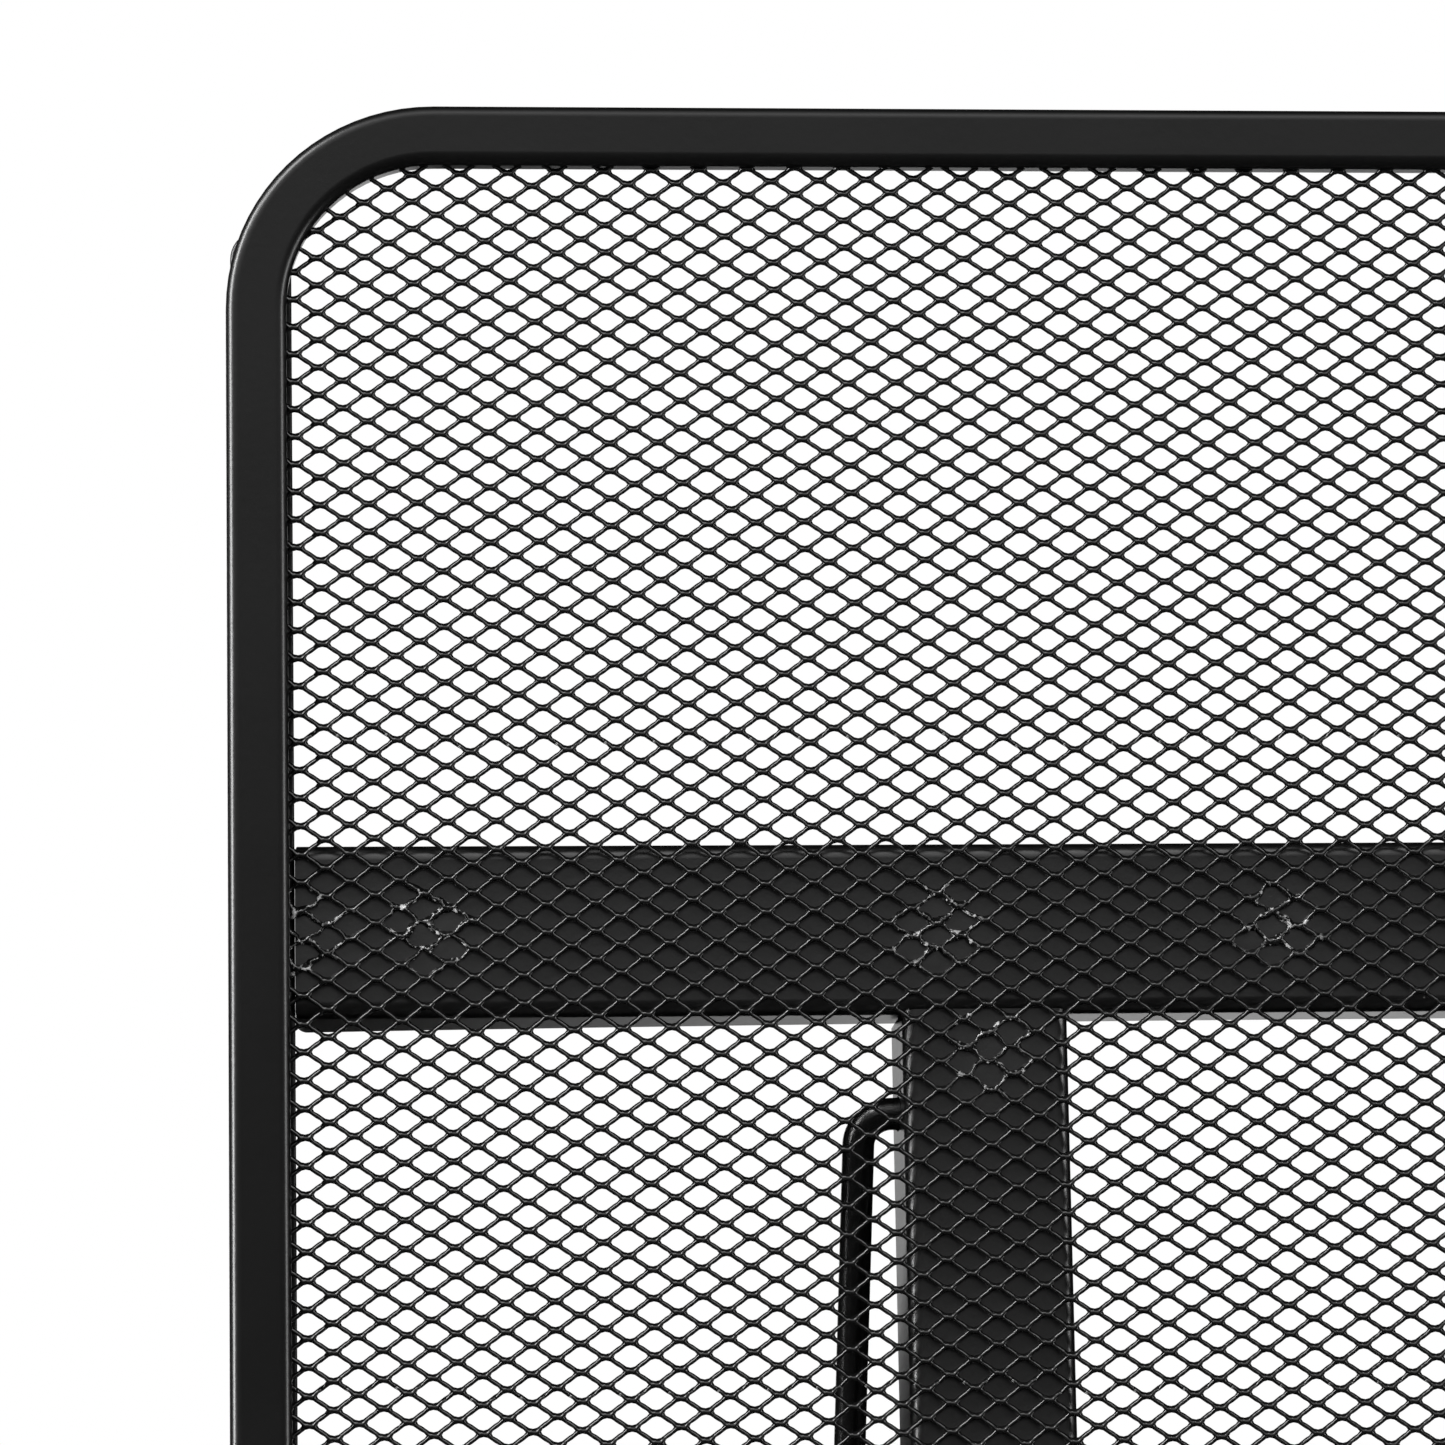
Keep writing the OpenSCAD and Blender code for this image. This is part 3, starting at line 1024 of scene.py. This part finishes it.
# %% Panel mesh
post_low, post_high = local_box("post_right", PANEL)
post_x = (post_low.x + post_high.x) / 2
cross_welds = [(x * MM, cross_z) for x in (-140.3, -125.3, -63.1, -20.7, 20.7, 63.1, 125.3, 140.3)]
post_drop = (4.0, 62.0, 118.0, 172.0)
post_welds = [(way * post_x, post_high.z - drop * MM) for way in (-1, 1) for drop in post_drop]
weld_points = [(x, 0, z) for x, z in cross_welds + post_welds]
welds = point_cloud("panel welds", weld_points)
straight = poly_line("straight", [(-PANEL_W / 2, 0, 0), (PANEL_W / 2, 0, 0)])
for helper in (welds, straight):
    bpy.context.scene.collection.objects.link(helper)

# One opening's centre, from which the lattice is counted: bonds lie half a step beside it
OPENING = (-102.55 * MM, 282.40 * MM)
RISE = 0.02357
SLANT = -0.00885
columns = int(PANEL_W / LONG_WAY) + 6
rows = int(PANEL_L / SHORT_WAY * 2) + 16
steps_left = 12
steps_down = 87
start_x = OPENING[0] + LONG_WAY / 2 - steps_left * LONG_WAY
start_z = OPENING[1] - steps_down * SHORT_WAY
start_x += -steps_down * SHORT_WAY * SLANT
start_z += (LONG_WAY / 2 - steps_left * LONG_WAY) * RISE
tuck = 2.3 * MM
common = {
    "Bond": cell, "Welds": welds, "Coat": MESH_COAT, "Long Way": LONG_WAY, "Short Way": SHORT_WAY,
    "Weld Radius": 7.2 * MM, "Weld Push": 1.5 * MM,
}
panel_inputs = {
    **common, "Path": straight, "Columns": columns, "Rows": rows, "Start X": start_x, "Start Z": start_z,
    "Rise": RISE, "Lean": SLANT, "Forward": 0.2 * MM,
    "Centre Z": PANEL_L / 2, "Half Width": PANEL_W / 2 - RIM_FACE + tuck,
    "Half Height": PANEL_L / 2 - RIM_FACE + tuck, "Corner": RIM_R - RIM_FACE + tuck,
}
BANDS = 4
for band in range(BANDS):
    edges = {"Bottom": PANEL_L * band / BANDS, "Top": PANEL_L * (band + 1) / BANDS}
    piece = sheet_piece("panel_mesh_" + str(band + 1), {**panel_inputs, **edges}, PANEL)
    keep(piece, "root", "coated_mesh", *(["back_mesh"] if band == 0 else []))

# %% [markdown]
# ## The pocket's mesh
#
# The same tree makes the pocket, with a path that is the pocket's outline in plan. Its ends
# lean with the panel, and a slope on the outline cuts them so. Low down they are trimmed
# further, to stop short of the pan's rear corners. The lowest bonds lie on the pan's ledge.

# %% Pocket mesh
TRIM_H = 15 * MM
END_TRIM = 6 * MM
wall = (TUBE - MESH_T) / 2 + MESH_T / 2
ledge_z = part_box("pocket_mesh")[0].z
top_z = pocket_low.z + 1.4 * MM
rear = level_rear(ledge_z, 10 * MM)
outline = u_path(wall, 0.0, rear, 24)
u_line = poly_line("pocket line", outline)
no_welds = point_cloud("far point", [(0, 0, 10.0)])
for helper in (u_line, no_welds):
    bpy.context.scene.collection.objects.link(helper)
u_length = sum((b - a).length for a, b in zip(outline, outline[1:]))
wall_mid = (ledge_z + top_z) / 2
cut = level_rear(wall_mid, -RIM_DEPTH / 2 + 1.8 * MM) - rear
columns = int(u_length / LONG_WAY) + 4
pocket_inputs = {
    **common, "Welds": no_welds, "Path": u_line, "Columns": columns, "Rows": int(top_z / SHORT_WAY * 2) + 4,
    "Start X": -(columns // 2) * LONG_WAY, "Start Z": ledge_z + 0.42 * MM, "Centre Z": wall_mid,
    "Half Width": u_length / 2 + cut, "Half Height": 1.0, "Corner": 0.0,
    "End Slope": math.tan(LEAN), "Bottom": ledge_z, "Top": top_z,
    "Step Height": FOOT_H + TRIM_H, "Step": END_TRIM,
}
for side_name, limits in (("left", {"Right": 0.0}), ("right", {"Left": 0.0})):
    piece = sheet_piece("pocket_mesh_" + side_name, {**pocket_inputs, **limits})
    keep(piece, "root", "coated_mesh", *(["pocket_mesh"] if side_name == "left" else []))
for helper in (cell, welds, straight, u_line, no_welds):
    bpy.data.objects.remove(helper)

# %% [markdown]
# ## Camera
#
# A long lens stands level with the upper part of the panel, a little to its left, and looks
# slightly to the right, so only the upper left of the holder is in the picture. The camera's
# axes are written as a matrix: right, up, and back.

# %% Camera
LENS = 159.1
STAND = (-0.1546, -0.7628, 0.2417)
YAW = 4.77
ROLL = -0.16
camera_data = bpy.data.cameras.new("camera")
camera_data.sensor_width = 36.0
camera_data.lens = LENS
camera_data.clip_start = 0.05
camera_data.clip_end = 20.0
camera = bpy.data.objects.new("camera", camera_data)
bpy.context.scene.collection.objects.link(camera)
yaw = math.radians(YAW)
tip = math.radians(ROLL)
ahead = Vector((math.sin(yaw), math.cos(yaw), 0))
level = Vector((math.cos(yaw), -math.sin(yaw), 0))
right = level * math.cos(tip) + Vector((0, 0, 1)) * math.sin(tip)
above = Vector((0, 0, 1)) * math.cos(tip) - level * math.sin(tip)
axes = Matrix((right, above, -ahead)).transposed().to_4x4()
camera.matrix_world = Matrix.Translation(STAND) @ axes
bpy.context.scene.camera = camera
print("the camera is", round(camera.location.length, 3), "m from the origin")

# %% [markdown]
# ## Floor and studio light
#
# The holder stands on a plain pale floor, which reflections don't show. The floor is a thin
# plate with a soft edge.

# %% Floor
FLOOR_T = 0.004
bm = bmesh.new()
corners = [(-0.9, -0.9, 0), (0.9, -0.9, 0), (0.9, 0.9, 0), (-0.9, 0.9, 0)]
floor_edge = rounded(corners, 0.2, True, 12, 0.01)
lowered = [point - Vector((0, 0, FLOOR_T)) for point in floor_edge]
dished(bm, lowered, [(0, FLOOR_T), (0.003, 0.001), (0.003, 0)], (0, 0, 1))
floor_material, graph = new_material("pale floor")
place = graph.node("ShaderNodeTexCoord", {}, {}, "Object")
cloud = noise(graph, place, 30.0, 3.0)
values = {"Base Color": mixed_colour(graph, cloud, grey(0.78), grey(0.82)), "Roughness": 0.55 + cloud * 0.1}
close(graph, graph.node(SHADER, {}, values))
floor = mesh_piece(bm, "floor", floor_material)
floor.visible_glossy = False

# %% [markdown]
# ## Light boxes and surroundings
#
# Black satin shows only what it reflects, so the light is built for the reflections. A tall box
# at the left draws the bright line down the rim's outer edge, and a weaker one at the right
# draws the inner edge. Two small boxes, upper left and upper right, light the upper sides of
# the strands, and a wide faint one is above and in front. The world is plain white to the
# camera. Reflections see a ceiling that is bright only in front and a white sheet behind, and
# all other rays see an even grey.

# %% Light boxes
def light_box(name, place, aim, width, height, power):
    """A rectangular area light that faces a point."""
    data = bpy.data.lights.new(name, "AREA")
    data.shape = "RECTANGLE"
    data.size = width
    data.size_y = height
    data.energy = power
    box = bpy.data.objects.new(name, data)
    bpy.context.scene.collection.objects.link(box)
    box.location = place
    box.rotation_euler = (Vector(aim) - Vector(place)).to_track_quat("-Z", "Y").to_euler()
    box.visible_camera = False
    return box


target = (0, 0, 0.17)
light_box("left box", (-1.48, -0.3, 0.55), target, 0.38, 1.9, 64.0)
light_box("upper left box", (-0.9, -0.55, 1.55), target, 0.55, 0.5, 14.0)
light_box("upper right box", (0.78, -0.55, 1.55), target, 0.5, 0.5, 4.0)
light_box("right box", (1.6, -0.5, 0.5), target, 0.5, 1.6, 17.0)
light_box("top box", (-0.1, -0.85, 1.5), target, 1.6, 0.4, 2.4)

world = bpy.data.worlds.new("studio")
world.use_nodes = True
world.node_tree.nodes.clear()
bpy.context.scene.world = world
graph = Graph(world.node_tree)
direction = graph.node("ShaderNodeTexCoord", {}, {}, "Generated")
x, y, z = graph.parts(direction)
ceiling = (0.03 + 0.86 * z.smooth(0.21, 0.6)) * (1 - y.smooth(-0.4, 0.0))
sheet = y.smooth(0.85, 0.9) * x.smooth(-0.32, -0.26) * (1 - x.smooth(0.24, 0.3))
sheet = sheet * z.smooth(-0.42, -0.32) * (1 - z.smooth(0.08, 0.14))
raised = z.smooth(-0.12, -0.09)
sheet = sheet * raised.maths("MAXIMUM", raised, x.smooth(0.03, 0.1))
seen = graph.node("ShaderNodeLightPath", {}, {}, "Is Camera Ray")
mirrored = graph.also(seen, "Is Glossy Ray")
unseen = mirrored * (ceiling + sheet * 1.7) + (1 - mirrored) * 0.55
strength = seen + (1 - seen) * unseen
values = {"Color": (1.0, 1.0, 1.0, 1.0), "Strength": strength}
background = graph.node("ShaderNodeBackground", {}, values)
graph.node("ShaderNodeOutputWorld", {}, {"Surface": background})
bpy.context.scene.view_settings.view_transform = "Standard"
print("lights:", [item.name for item in bpy.data.lights])
